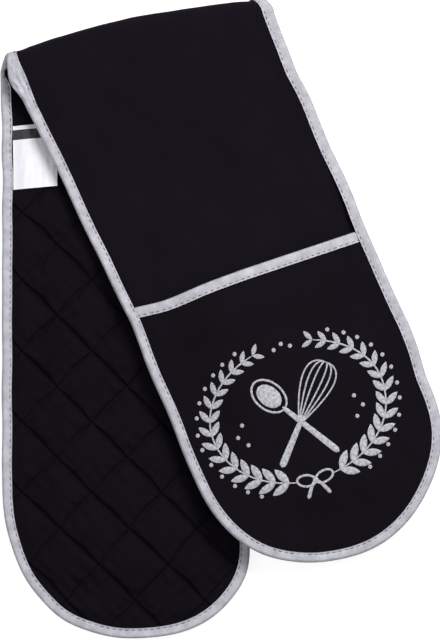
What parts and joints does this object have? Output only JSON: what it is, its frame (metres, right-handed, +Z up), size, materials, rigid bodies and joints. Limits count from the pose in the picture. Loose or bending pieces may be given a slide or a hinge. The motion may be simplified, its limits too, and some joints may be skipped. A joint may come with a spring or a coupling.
{
  "type": "double oven glove",
  "caption": "Black quilted double oven glove with grey binding, folded over, with a hand pocket at each end.",
  "frame": {"origin": "middle of the glove's bounding box, on the table it lies on", "axes": "+Z up from the table, +Y from the finger ends towards the fold, +X along the fold towards the front half's side"},
  "size_m": [0.3286, 0.4466, 0.0415],
  "materials": {
    "face_cloth": "matte black cotton twill",
    "quilted_backing": "matte black quilted cotton",
    "wadding": "soft white felt",
    "lining": "matte black cotton",
    "binding_tape": "light grey twill bias tape",
    "satin_label": "white satin"
  },
  "bodies": {
    "rear_half": {"rear_face_cloth": "face_cloth", "rear_wadding": "wadding", "rear_quilted_backing": "quilted_backing", "rear_edge_binding": "binding_tape", "rear_pocket_cloth": "face_cloth", "rear_pocket_wadding": "wadding", "rear_pocket_lining": "lining", "rear_pocket_mouth_binding": "binding_tape", "care_label": "satin_label"},
    "fold": {"fold_face_cloth": "face_cloth", "fold_wadding": "wadding", "fold_quilted_backing": "quilted_backing", "fold_binding_left": "binding_tape", "fold_binding_right": "binding_tape"},
    "front_half": {"front_face_cloth": "face_cloth", "front_wadding": "wadding", "front_quilted_backing": "quilted_backing", "front_edge_binding": "binding_tape"},
    "front_pocket": {"front_pocket_cloth": "face_cloth", "front_pocket_wadding": "wadding", "front_pocket_lining": "lining", "front_pocket_mouth_binding": "binding_tape"}
  },
  "joints": [
    {"name": "fold_rear", "type": "hinge", "parent": "rear_half", "child": "fold", "pos_m": [0.00139, 0.22186, 0.00155], "axis": [-1, 0, 0], "range_deg": [0, 87]},
    {"name": "fold_front", "type": "hinge", "parent": "fold", "child": "front_half", "pos_m": [0.00139, 0.22186, 0.01845], "axis": [-1, 0, 0], "range_deg": [0, 87]},
    {"name": "pocket_mouth", "type": "hinge", "parent": "front_half", "child": "front_pocket", "pos_m": [0.08908, -0.18736, 0.0202], "axis": [0.9787, 0.2053, 0], "range_deg": [0, 8]}
  ],
  "couplings": [
    {"joint": "fold_front", "follows": "fold_rear", "ratio": 1}
  ]
}
